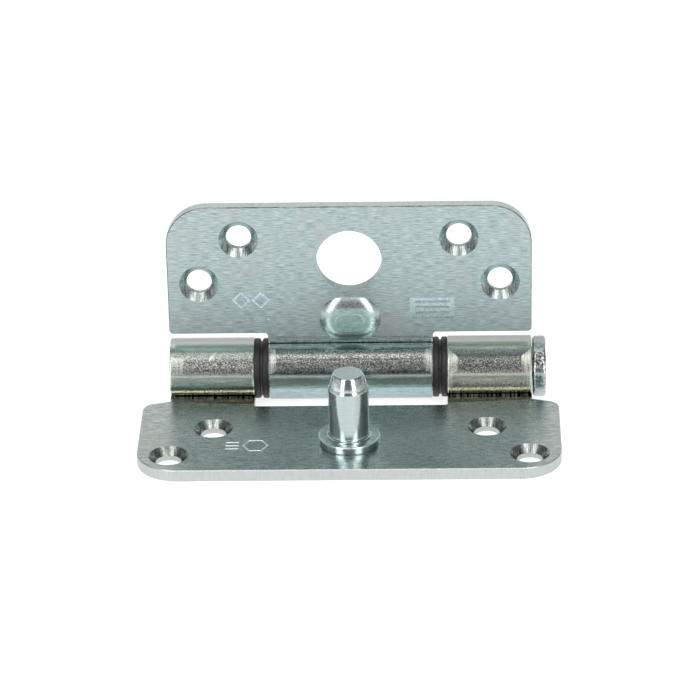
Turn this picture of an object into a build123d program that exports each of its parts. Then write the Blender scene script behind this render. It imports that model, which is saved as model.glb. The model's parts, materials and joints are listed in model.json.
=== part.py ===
from build123d import *
from math import acos, asin, atan2, cos, degrees, hypot, radians, sin, sqrt
import os

os.makedirs("parts", exist_ok=True)

# Security door hinge, millimetres. The frame leaf lies on its back at z = 0, the
# door leaf stands square to it, and the pin runs along X. The origin is the centre
# of the frame leaf's footprint. +X points to the pin's head, +Y to the barrel.

# ---- driving dimensions ----
sheet = 3.0                 # thickness of both leaves
barrel_r = 7.7              # outside radius of the rolled knuckles
bore_r = barrel_r - sheet   # inside radius of the rolls
running = 0.05              # radial clearance of the pin in the knuckles
leaf_reach = 44.5           # pin axis to the free edge of either leaf
frame_length = 102.0        # frame leaf along the pin
door_length = 89.0          # door leaf, and the barrel, along the pin
middle_length = 40.5        # middle knuckle
bearing_width = 3.5         # each bearing, between two knuckles
leaf_corner_r = 10.0        # free corners of both leaves
face_offset = 1.9           # pin axis to the door leaf's inner face
edge_break = 0.2            # deburred edges

screw_r = 3.1               # screw clearance holes
countersink_r = 4.8
frame_screws = [(43.3, 36.7), (33.2, 22.9)]   # x, distance from the pin axis
door_screws = [(36.8, 24.0), (26.8, 35.9)]
stud_reach = 30.0           # pin axis to the security stud and its hole
stud_hole_r = 8.0

half_middle = middle_length / 2
outer_start = half_middle + bearing_width
half_barrel = door_length / 2
pin_y = (leaf_reach - barrel_r) / 2   # puts the origin under the footprint's centre
pin_z = barrel_r                      # the barrel touches the plane the leaf lies on
pin_axis = Axis((0, pin_y, pin_z), (1, 0, 0))

# ---- planes: on the leaves, local x runs along the pin and y away from or up to it ----
frame_back = Plane(origin=(0, pin_y, 0))
frame_front = Plane(origin=(0, pin_y, sheet))
frame_under = Plane(origin=(0, pin_y, 0), x_dir=(1, 0, 0), z_dir=(0, 0, -1))
door_front = Plane(origin=(0, pin_y - face_offset, pin_z), x_dir=(1, 0, 0), z_dir=(0, -1, 0))
door_back = door_front.offset(-sheet)


def section_plane(x):
    """The barrel's section at x: local x runs to the back, local y up."""
    return Plane(origin=(x, pin_y, pin_z), x_dir=(0, 1, 0), z_dir=(1, 0, 0))


def polar(radius, angle):
    return (radius * cos(radians(angle)), radius * sin(radians(angle)))


def mirrored(half):
    """A closed outline from the points of its right half."""
    return half + [(-x, y) for x, y in reversed(half)]


def corners_at(sketch, *points):
    """A sketch's corners at these points and at their mirror images."""
    return [
        corner
        for corner in sketch.vertices()
        if any(hypot(abs(corner.X) - x, corner.Y - y) < 0.01 for x, y in points)
    ]


def both_sides(places, sign=1):
    """The holes at these places on the right, and the same on the left."""
    return [(side * x, sign * reach) for x, reach in places for side in (1, -1)]


def save(piece, node):
    piece.part.label = node
    export_step(piece.part, f"parts/{node}.step")


# ---- outer knuckle, rolled up from the frame leaf ----
roll_gap = 0.25             # free end of a roll to the face it closes on
die_roll = 0.6              # rounding along the outer knuckles' free end
knuckle_edge = 0.35         # rounding round the knuckles' ends
tail = 4.0                  # flat stretch behind each roll, inside the plate
outer_free_angle = 180 + degrees(asin((bore_r - roll_gap) / barrel_r))
outer_turn = outer_free_angle + 90

with BuildPart() as outer_knuckle:
    with BuildSketch(section_plane(outer_start)) as outer_roll:
        with BuildLine():
            CenterArc((0, 0), barrel_r, outer_free_angle, -outer_turn)
            Polyline((0, -barrel_r), (-tail, -barrel_r), (-tail, -bore_r), (0, -bore_r))
            CenterArc((0, 0), bore_r, -90, outer_turn)
            Line(polar(bore_r, outer_free_angle), polar(barrel_r, outer_free_angle))
        make_face()
        free_x, free_y = polar(barrel_r, outer_free_angle)
        lip = outer_roll.vertices().sort_by_distance((free_x, free_y))[0]
        fillet(lip, die_roll)
    extrude(amount=half_barrel - outer_start)
    outer_rims = outer_knuckle.edges().filter_by(GeomType.CIRCLE).filter_by(
        lambda edge: abs(edge.radius - barrel_r) < 0.01
    )
    fillet(outer_rims, knuckle_edge)

# ---- frame leaf ----
wing_y = -8.5               # back edge of a wing where it leaves the knuckle
wing_tip_y = -10.3          # and at the leaf's end
wing_tip_r = 3.0
notch_y = -11.3             # bottom of the notch that clears the middle knuckle
notch_r = 0.8
rivet_r = 4.0               # stud's tail, riveted over in the leaf
rivet_flare = 0.8
mark_depth = 0.15
mark_line = 0.5
hexagon_r = 3.2
hexagon_place = (-22.6, -32.0)
bars_place = (-28.2, -32.0)
bar_length = 3.4
bar_pitch = 1.6

frame_corner = (frame_length / 2, -leaf_reach)
frame_tip = (frame_length / 2, wing_tip_y)
notch_corner = (outer_start, notch_y)
frame_outline = mirrored([
    frame_corner,
    frame_tip,
    (half_barrel, wing_y),
    (half_barrel, 0),
    (outer_start, 0),
    notch_corner,
])

with BuildPart() as frame_leaf:
    with BuildSketch(frame_back) as frame_plan:
        with BuildLine():
            Polyline(*frame_outline, close=True)
        make_face()
        fillet(corners_at(frame_plan, frame_corner), leaf_corner_r)
        fillet(corners_at(frame_plan, frame_tip), wing_tip_r)
        fillet(corners_at(frame_plan, notch_corner), notch_r)
    extrude(amount=sheet)
    free_edges = frame_leaf.edges().filter_by(
        lambda edge: edge.center().Y < pin_y + wing_y - 0.1 and abs(edge.tangent_at(0.5).Z) < 0.1
    )
    chamfer(free_edges, edge_break)
    add(outer_knuckle.part)
    mirror(outer_knuckle.part, about=Plane.YZ)
    with Locations(frame_front):
        with Locations(*both_sides(frame_screws, -1)):
            CounterSinkHole(screw_r, countersink_r, counter_sink_angle=90)
    with Locations(frame_under):
        with Locations((0, stud_reach)):
            CounterSinkHole(rivet_r, rivet_r + rivet_flare, counter_sink_angle=90)
    # plain stamped marks: a hexagon outline and three short bars
    with BuildSketch(frame_front):
        with Locations(hexagon_place):
            RegularPolygon(hexagon_r, 6)
            RegularPolygon(hexagon_r - mark_line, 6, mode=Mode.SUBTRACT)
        with Locations(bars_place):
            with GridLocations(0, bar_pitch, 1, 3):
                SlotOverall(bar_length, mark_line)
    extrude(amount=-mark_depth, mode=Mode.SUBTRACT)

# ---- middle knuckle, rolled back from the door leaf through a reverse bend ----
bend_mid_r = 4.0                                  # reverse bend, at the sheet's middle
bend_x = bend_mid_r + sheet / 2 - face_offset     # its centre, behind and above the pin
bend_y = sqrt((bend_mid_r + barrel_r - sheet / 2) ** 2 - bend_x ** 2)
bend_angle = degrees(atan2(bend_y, bend_x))       # where the bend meets the roll
bend_outer = bend_mid_r + sheet / 2
bend_inner = bend_mid_r - sheet / 2
neck_overlap = 2.0                                # the neck runs up into the plate
neck_top = bend_y + neck_overlap
centres_apart = hypot(bend_x, bend_y)
clear_r = bend_outer + roll_gap
middle_free_angle = bend_angle + degrees(acos(
    (barrel_r ** 2 + centres_apart ** 2 - clear_r ** 2) / (2 * barrel_r * centres_apart)
))
middle_turn = 360 + bend_angle - middle_free_angle

with BuildPart() as middle_knuckle:
    with BuildSketch(section_plane(-half_middle)):
        with BuildLine():
            CenterArc((0, 0), barrel_r, middle_free_angle, middle_turn)
            CenterArc((bend_x, bend_y), bend_inner, 180 + bend_angle, -bend_angle)
            Polyline(
                (bend_x - bend_inner, bend_y),
                (bend_x - bend_inner, neck_top),
                (bend_x - bend_outer, neck_top),
                (bend_x - bend_outer, bend_y),
            )
            CenterArc((bend_x, bend_y), bend_outer, 180, bend_angle)
            CenterArc((0, 0), bore_r, bend_angle, -middle_turn)
            Line(polar(bore_r, middle_free_angle), polar(barrel_r, middle_free_angle))
        make_face()
    extrude(amount=middle_length)
    middle_rims = middle_knuckle.edges().filter_by(GeomType.CIRCLE).filter_by(
        lambda edge: abs(edge.radius - barrel_r) < 0.01
    )
    chamfer(middle_rims, knuckle_edge)

# ---- door leaf ----
wing_low = 10.5             # lower edge of the wings, above the pin axis
wing_low_r = 1.0
neck_r = 0.9
door_outline = mirrored([
    (half_barrel, leaf_reach),
    (half_barrel, wing_low),
    (half_middle, wing_low),
    (half_middle, bend_y),
])
pad_centre = 14.4           # pressed pad between the neck and the stud's hole
pad_height = 11.6
pad_extra_width = 3.4       # how much wider than high it is
pad_corner = 0.48           # corner radius, as a share of the height
# the pad's pillow shape: rise above the inner face, and distance in from its edge
pad_steps = [
    (-0.5, -0.25), (0.0, 0.0), (0.37, 0.35), (0.8, 0.9),
    (1.12, 1.5), (1.34, 2.1), (1.52, 2.9), (1.66, 4.2),
]
# the punch's hollow behind it: depth in from the back, width, height, corner radius
punch_steps = [(0.0, 11.0, 7.4, 3.6), (1.5, 8.4, 5.0, 2.4)]
panel_place = (20.15, 17.15)
panel_width = 11.0
panel_height = 5.4
panel_corner_r = 0.4
panel_bar = 8.6
panel_pitch = 1.5
lozenge_r = 2.3
lozenge_places = [(-26.6, 19.6), (-21.8, 19.6)]
dot_r = 0.4
dot_pitch = 1.6
dots_place = (-24.2, 14.4)

with BuildPart() as door_leaf:
    with BuildSketch(door_back) as door_plan:
        with BuildLine():
            Polyline(*door_outline, close=True)
        make_face()
        fillet(corners_at(door_plan, (half_barrel, leaf_reach)), leaf_corner_r)
        fillet(corners_at(door_plan, (half_barrel, wing_low)), wing_low_r)
        fillet(corners_at(door_plan, (half_middle, wing_low)), neck_r)
    extrude(amount=sheet)
    door_edges = door_leaf.edges().filter_by(
        lambda edge: edge.center().Z > pin_z + wing_low - 0.1 and abs(edge.tangent_at(0.5).Y) < 0.1
    )
    chamfer(door_edges, edge_break)
    add(middle_knuckle.part)
    # pressed pad: a pillow on the inner face, hollow on the back
    for rise, inset in pad_steps:
        height = pad_height - 2 * inset
        with BuildSketch(door_front.offset(rise)):
            with Locations((0, pad_centre)):
                RectangleRounded(height + pad_extra_width, height, pad_corner * height)
    loft()
    for depth, width, height, corner_r in punch_steps:
        with BuildSketch(door_back.offset(depth)):
            with Locations((0, pad_centre)):
                RectangleRounded(width, height, corner_r)
    loft(mode=Mode.SUBTRACT)
    with Locations(door_front):
        with Locations(*both_sides(door_screws)):
            CounterSinkHole(screw_r, countersink_r, counter_sink_angle=90)
        with Locations((0, stud_reach)):
            Hole(stud_hole_r)
    # plain stamped marks: a barred blank panel, two lozenges and a row of dots
    with BuildSketch(door_front):
        with Locations(panel_place):
            RectangleRounded(panel_width, panel_height, panel_corner_r)
            with GridLocations(0, panel_pitch, 1, 3):
                SlotOverall(panel_bar, mark_line, mode=Mode.SUBTRACT)
        with Locations(*lozenge_places):
            RegularPolygon(lozenge_r, 4)
            RegularPolygon(lozenge_r - sqrt(2) * mark_line, 4, mode=Mode.SUBTRACT)
        with Locations(dots_place):
            with GridLocations(dot_pitch, 1, 6, 1):
                Circle(dot_r)
    extrude(amount=-mark_depth, mode=Mode.SUBTRACT)

# ---- hinge pin, with its head past the right-hand knuckle ----
pin_r = bore_r - running
pin_inset = 0.3             # the plain end stops short of the knuckle's end
head_gap = 0.3              # knuckle's end to the head
head_thickness = 3.15
pin_left = pin_inset - half_barrel
head_in = half_barrel + head_gap
head_out = head_in + head_thickness
head_r = 7.5
head_rim = 0.6

with BuildPart() as hinge_pin:
    with BuildSketch(Plane(origin=(0, pin_y, pin_z), x_dir=(1, 0, 0), z_dir=(0, -1, 0))) as pin_half:
        with BuildLine():
            Polyline(
                (pin_left, 0),
                (pin_left, pin_r),
                (head_in, pin_r),
                (head_in, head_r),
                (head_out, head_r),
                (head_out, 0),
                close=True,
            )
        make_face()
        fillet(corners_at(pin_half, (head_in, head_r), (head_out, head_r)), head_rim)
        chamfer(corners_at(pin_half, (-pin_left, pin_r)), head_rim)
    revolve(axis=pin_axis)

# ---- security stud, riveted into the frame leaf ----
stud_r = 4.9
stud_height = 18.4          # above the leaf's face
collar_r = 7.5
collar_height = 2.0
collar_edge = 0.45
bead_r = 5.9
bead_height = 0.35
bead_sweep = bead_r - stud_r
cone_start = 14.5
tip_r = 3.6
tip_edge = 0.3
fit_gap = 0.02

with BuildPart() as security_stud:
    stud_plane = Plane(origin=(0, pin_y - stud_reach, 0), x_dir=(1, 0, 0), z_dir=(0, -1, 0))
    with BuildSketch(stud_plane) as stud_half:
        bead_top = sheet + collar_height + bead_height
        with BuildLine():
            Polyline(
                (stud_r, bead_top + bead_sweep),
                (stud_r, sheet + cone_start),
                (tip_r, sheet + stud_height),
                (0, sheet + stud_height),
                (0, 0),
                (rivet_r + rivet_flare - fit_gap, 0),
                (rivet_r - fit_gap, rivet_flare),
                (rivet_r - fit_gap, sheet),
                (collar_r, sheet),
                (collar_r, sheet + collar_height),
                (bead_r, sheet + collar_height),
                (bead_r, bead_top),
            )
            CenterArc((bead_r, bead_top + bead_sweep), bead_sweep, 270, -90)
        make_face()
        fillet(corners_at(stud_half, (collar_r, sheet + collar_height)), collar_edge)
        fillet(corners_at(stud_half, (tip_r, sheet + stud_height)), tip_edge)
    revolve(axis=Axis((0, pin_y - stud_reach, 0), (0, 0, 1)))

save(frame_leaf, "frame_leaf")
save(door_leaf, "door_leaf")
save(hinge_pin, "hinge_pin")
save(security_stud, "security_stud")

# ---- bearings: two cups, two races, a cage and its balls between each pair of knuckles ----
ball_count = 12
ball_r = 1.588 / 2
ball_pitch_r = 5.8
ball_gap = 0.055            # ball to race
race_thickness = 0.5
cup_r = 7.45
cup_bore_r = pin_r + 0.07    # the cups turn on the pin
cup_wall = 0.55
cup_gap = 0.5               # between the rims of two cups
cup_rim = 0.4
cage_half = 0.4
cage_bore_r = cup_bore_r + 0.13
race_play = 0.1             # race and cage inside the cup's wall
groove_play = 0.05          # ball grooves and pockets round the balls
half_bearing = bearing_width / 2
race_face = ball_r + ball_gap
race_back = race_face + race_thickness
bearing_x = half_middle + half_bearing
cup_inside_r = cup_r - cup_wall


def bearing_plane(side, outward):
    """Local x runs away from the bearing's middle, local y up from the pin axis."""
    return Plane(
        origin=(side * bearing_x, pin_y, pin_z),
        x_dir=(outward, 0, 0),
        z_dir=(0, -outward, 0),
    )


for side, side_name in ((-1, "left"), (1, "right")):
    for outward, place in ((side, "outer"), (-side, "inner")):
        half_plane = bearing_plane(side, outward)

        with BuildPart() as bearing_cup:
            with BuildSketch(half_plane) as cup_half:
                with BuildLine():
                    Polyline(
                        (half_bearing, cup_bore_r),
                        (half_bearing, cup_r),
                        (cup_gap / 2, cup_r),
                        (cup_gap / 2, cup_inside_r),
                        (race_back, cup_inside_r),
                        (race_back, cup_bore_r),
                        close=True,
                    )
                make_face()
                fillet(corners_at(cup_half, (cup_gap / 2, cup_r)), cup_rim)
                fillet(corners_at(cup_half, (half_bearing, cup_r)), cup_rim / 2)
            revolve(axis=pin_axis)
        save(bearing_cup, f"{side_name}_{place}_cup")

        with BuildPart() as bearing_race:
            with BuildSketch(half_plane):
                with Locations(((race_face + race_back) / 2, (cup_bore_r + cup_inside_r) / 2)):
                    Rectangle(race_thickness, cup_inside_r - cup_bore_r - race_play)
                with Locations((0, ball_pitch_r)):
                    Circle(race_face + groove_play, mode=Mode.SUBTRACT)
            revolve(axis=pin_axis)
        save(bearing_race, f"{side_name}_{place}_race")

    middle_plane = section_plane(side * bearing_x)

    with BuildPart() as ball_cage:
        with BuildSketch(middle_plane.offset(-cage_half)):
            Circle(cup_inside_r - race_play)
            Circle(cage_bore_r, mode=Mode.SUBTRACT)
            with PolarLocations(ball_pitch_r, ball_count):
                Circle(ball_r + groove_play, mode=Mode.SUBTRACT)
        extrude(amount=2 * cage_half)
    save(ball_cage, f"{side_name}_ball_cage")

    for number in range(ball_count):
        across, up = polar(ball_pitch_r, 360 / ball_count * number)
        with BuildPart(middle_plane) as bearing_ball:
            with Locations((across, up)):
                Sphere(ball_r)
        save(bearing_ball, f"{side_name}_ball_{number + 1:02d}")
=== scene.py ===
import bpy
import bmesh
import json
import random
from math import cos, hypot, pi, radians, sin, tan
from mathutils import Matrix, Vector

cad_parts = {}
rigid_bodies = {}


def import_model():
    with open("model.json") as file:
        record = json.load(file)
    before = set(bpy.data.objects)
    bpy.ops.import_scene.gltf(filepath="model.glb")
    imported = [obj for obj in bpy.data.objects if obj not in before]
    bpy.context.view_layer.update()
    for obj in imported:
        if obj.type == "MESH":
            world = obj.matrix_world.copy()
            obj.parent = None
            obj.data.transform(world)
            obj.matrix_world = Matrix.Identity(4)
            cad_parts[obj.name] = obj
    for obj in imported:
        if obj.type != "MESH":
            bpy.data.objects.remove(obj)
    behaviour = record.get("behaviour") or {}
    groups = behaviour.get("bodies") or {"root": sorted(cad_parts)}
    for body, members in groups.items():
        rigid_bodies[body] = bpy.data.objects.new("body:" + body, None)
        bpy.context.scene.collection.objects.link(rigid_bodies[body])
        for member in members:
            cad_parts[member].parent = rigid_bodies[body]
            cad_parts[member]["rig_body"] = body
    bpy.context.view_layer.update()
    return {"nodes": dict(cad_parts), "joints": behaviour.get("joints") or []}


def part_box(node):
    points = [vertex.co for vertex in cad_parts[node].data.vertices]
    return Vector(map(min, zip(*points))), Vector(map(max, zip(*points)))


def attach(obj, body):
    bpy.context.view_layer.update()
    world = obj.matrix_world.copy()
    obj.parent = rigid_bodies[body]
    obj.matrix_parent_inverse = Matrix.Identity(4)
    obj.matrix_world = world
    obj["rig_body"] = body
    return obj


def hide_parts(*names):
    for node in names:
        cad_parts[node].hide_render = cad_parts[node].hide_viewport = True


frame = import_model()

# a ball-bearing door hinge: one leaf on its back, one standing, the pin along X
mm = 0.001
nodes = frame["nodes"]
swing = next(joint for joint in frame["joints"] if joint["name"] == "leaf_swing")
pinCentre = Vector(swing["pos_m"])
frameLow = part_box("frame_leaf")[0]
studLow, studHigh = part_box("security_stud")
pinLow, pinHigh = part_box("hinge_pin")
studCentre = (studLow + studHigh) / 2
print("frame loaded,", len(nodes), "parts")

camera = {
    "distance": 944.74 * mm,     # lens to the aim point
    "elevation": radians(26.61),
    "yaw": radians(1.56),
    "roll": radians(1.18),
    "aimRight": -0.309 * mm,     # the aim point, from the middle of the pin
    "aimUp": 4.263 * mm,
    "lens": 196.37,
    "sensor": 36.0,
}


def placeCamera(spec):
    level, turn, roll = spec["elevation"], spec["yaw"], spec["roll"]
    back = Vector((sin(turn) * cos(level), -cos(turn) * cos(level), sin(level)))
    flatRight = Vector((cos(turn), sin(turn), 0))
    flatUp = back.cross(flatRight)
    right = cos(roll) * flatRight - sin(roll) * flatUp
    up = sin(roll) * flatRight + cos(roll) * flatUp
    aim = pinCentre + spec["aimRight"] * right + spec["aimUp"] * up
    bpy.ops.object.camera_add(location=aim + spec["distance"] * back)
    made = bpy.context.object
    made.name = "studioCamera"
    made.rotation_euler = Matrix((right, up, back)).transposed().to_euler()
    made.data.lens = spec["lens"]
    made.data.sensor_width = spec["sensor"]
    bpy.context.scene.camera = made


placeCamera(camera)
bpy.context.scene.view_settings.view_transform = "Standard"
print("camera placed")


def toLinear(hexColour):
    parts = [int(hexColour[at:at + 2], 16) / 255 for at in (1, 3, 5)]
    return tuple(
        part / 12.92 if part <= 0.04045 else ((part + 0.055) / 1.055) ** 2.4 for part in parts
    ) + (1.0,)


def addNode(tree, kind, settings=None, **inputs):
    node = tree.nodes.new(kind)
    for name, value in (settings or {}).items():
        setattr(node, name, value)
    for name, value in inputs.items():
        place = int(name[1:]) if name[1:].isdigit() else name.replace("_", " ")
        if isinstance(value, bpy.types.NodeSocket):
            tree.links.new(value, node.inputs[place])
        else:
            node.inputs[place].default_value = value
    return node


def newMaterial(name):
    made = bpy.data.materials.new(name)
    made.use_nodes = True
    made.node_tree.nodes.clear()
    return made, made.node_tree


def finishMaterial(tree, shader):
    addNode(tree, "ShaderNodeOutputMaterial", i0=shader.outputs[0])


studio = {
    "frontDark": "#848080",      # behind the camera, up to frontTop
    "frontLight": "#D2CFCC",
    "overhead": "#98AFAE",
    "behind": "#F4EEEC",
    "sideLow": "#DADDDD",        # the table's surroundings, to either side
    "sideHigh": "#767B7C",
    "strength": 1.0,
    "frontTop": 57.0,            # degrees above the floor
    "lightTop": 82.0,
    "overheadTop": 128.0,
    "boxRadiance": 4.6,
    "boxDistance": 0.9,
    "boxMiddle": radians(34),    # either side of the camera
    "boxHalfWidth": radians(10),
    "boxTop": radians(64),
    "floorHalf": 3.0,
}


def lightStudio(spec):
    world = bpy.data.worlds.new("softStudio")
    world.use_nodes = True
    tree = world.node_tree
    tree.nodes.clear()
    bpy.context.scene.world = world
    way = addNode(tree, "ShaderNodeTexCoord").outputs["Generated"]
    part = addNode(tree, "ShaderNodeSeparateXYZ", i0=way)
    forward = addNode(tree, "ShaderNodeMath", {"operation": "MULTIPLY"}, i0=part.outputs[1], i1=-1.0)
    turn = addNode(tree, "ShaderNodeMath", {"operation": "ARCTAN2"}, i0=part.outputs[2],
                   i1=forward.outputs[0])
    share = addNode(tree, "ShaderNodeMath", {"operation": "DIVIDE"}, i0=turn.outputs[0], i1=pi)
    arc = addNode(tree, "ShaderNodeValToRGB", i0=share.outputs[0])
    stops = arc.color_ramp.elements
    soft = 4.0
    bands = [
        (0.0, spec["frontDark"]), (spec["frontTop"] - soft, spec["frontDark"]),
        (spec["frontTop"] + soft, spec["frontLight"]), (spec["lightTop"] - soft, spec["frontLight"]),
        (spec["lightTop"] + soft, spec["overhead"]), (spec["overheadTop"] - soft, spec["overhead"]),
        (spec["overheadTop"] + soft, spec["behind"]),
    ]
    for number, (angle, colour) in enumerate(bands):
        stop = stops[number] if number < 2 else stops.new(angle / 180)
        stop.position = angle / 180
        stop.color = toLinear(colour)
    # to the sides: pale near the table, dark above it
    sides = addNode(tree, "ShaderNodeValToRGB", i0=part.outputs[2])
    heights = [(0.0, spec["sideLow"]), (0.24, spec["sideLow"]), (0.46, spec["sideHigh"]),
               (0.84, spec["sideHigh"]), (0.95, spec["overhead"])]
    for number, (height, colour) in enumerate(heights):
        stop = sides.color_ramp.elements[number] if number < 2 else sides.color_ramp.elements.new(height)
        stop.position = height
        stop.color = toLinear(colour)
    aside = addNode(tree, "ShaderNodeMath", {"operation": "ABSOLUTE"}, i0=part.outputs[0])
    mask = addNode(tree, "ShaderNodeMapRange", {"interpolation_type": "SMOOTHSTEP"},
                   Value=aside.outputs[0], From_Min=0.38, From_Max=0.62)
    mixed = addNode(tree, "ShaderNodeMix", {"data_type": "RGBA"},
                    i0=mask.outputs[0], i6=arc.outputs[0], i7=sides.outputs[0])
    glow = addNode(tree, "ShaderNodeBackground", Color=mixed.outputs[2], Strength=spec["strength"])
    addNode(tree, "ShaderNodeOutputWorld", i0=glow.outputs[0])

    reach = spec["boxDistance"]
    lift = spec["boxTop"] / 2
    for side in (-1, 1):
        across = side * spec["boxMiddle"]
        toward = Vector((sin(across) * cos(lift), -cos(across) * cos(lift), sin(lift)))
        bpy.ops.object.light_add(type="AREA", location=pinCentre + reach * toward)
        box = bpy.context.object
        box.name = "softboxLeft" if side < 0 else "softboxRight"
        box.rotation_euler = toward.to_track_quat("Z", "Y").to_euler()
        box.data.shape = "RECTANGLE"
        box.data.size = 2 * reach * tan(spec["boxHalfWidth"])
        box.data.size_y = 2 * reach * tan(lift)
        box.data.energy = spec["boxRadiance"] * pi * box.data.size * box.data.size_y
        box.visible_camera = False

    bpy.ops.mesh.primitive_plane_add(size=2 * spec["floorHalf"], location=(0, 0, -0.02 * mm))
    floor = bpy.context.object
    floor.name = "studioFloor"
    # painted board: matt white, a little brighter than the light on it
    board, tree = newMaterial("paintedBoardFloor")
    shader = addNode(tree, "ShaderNodeBsdfPrincipled", Base_Color=toLinear("#ADADAD"), Roughness=0.9,
                     Emission_Color=toLinear("#FFFFFF"), Emission_Strength=0.8)
    finishMaterial(tree, shader)
    floor.data.materials.append(board)


lightStudio(studio)
print("studio lit")


# zinc plate over steel: a metal with a faint blue-green cast, brighter where it is rubbed
def platedSteel(name, spec):
    made, tree = newMaterial(name)
    place = addNode(tree, "ShaderNodeTexCoord").outputs["Object"]
    sizes = spec["streak"]
    stretched = addNode(tree, "ShaderNodeMapping", Vector=place,
                        Scale=[1 / (size * mm) for size in sizes])
    streak = addNode(tree, "ShaderNodeTexNoise", Vector=stretched.outputs[0],
                     Scale=1.0, Detail=3.0, Roughness=0.62)
    patch = addNode(tree, "ShaderNodeTexNoise", Vector=place,
                    Scale=1 / (spec["patch"] * mm), Detail=2.0, Roughness=0.5)
    grain = addNode(tree, "ShaderNodeTexNoise", Vector=place,
                    Scale=1 / (spec["grain"] * mm), Detail=2.0, Roughness=0.6)
    lit = addNode(tree, "ShaderNodeMapRange", Value=streak.outputs[0], From_Min=0.34, From_Max=0.66)
    tone = addNode(tree, "ShaderNodeMix", {"data_type": "RGBA"}, i0=lit.outputs[0],
                   i6=toLinear(spec["dark"]), i7=toLinear(spec["light"]))
    stained = addNode(tree, "ShaderNodeMapRange", {"interpolation_type": "SMOOTHSTEP"},
                      Value=patch.outputs[0], From_Min=0.5, From_Max=0.72, To_Max=spec["stainShare"])
    colour = addNode(tree, "ShaderNodeMix", {"data_type": "RGBA"}, i0=stained.outputs[0],
                     i6=tone.outputs[2], i7=toLinear(spec["stain"]))
    low, high = spec["roughness"]
    rough = addNode(tree, "ShaderNodeMapRange", Value=grain.outputs[0],
                    From_Min=0.3, From_Max=0.7, To_Min=low, To_Max=high)
    lines = addNode(tree, "ShaderNodeBump", Strength=1.0,
                    Distance=spec["lineDepth"] * mm, Height=streak.outputs[0])
    pits = addNode(tree, "ShaderNodeBump", Strength=1.0, Distance=spec["grainDepth"] * mm,
                   Height=grain.outputs[0], Normal=lines.outputs[0])
    shader = addNode(tree, "ShaderNodeBsdfPrincipled", Base_Color=colour.outputs[2], Metallic=1.0,
                     Roughness=rough.outputs[0], Normal=pits.outputs[0])
    if spec.get("brushed"):
        along = addNode(tree, "ShaderNodeCombineXYZ", X=1.0)
        tree.links.new(along.outputs[0], shader.inputs["Tangent"])
        shader.inputs["Anisotropic"].default_value = spec["brushed"]
        shader.inputs["Anisotropic Rotation"].default_value = 0.25
    finishMaterial(tree, shader)
    return made


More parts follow.
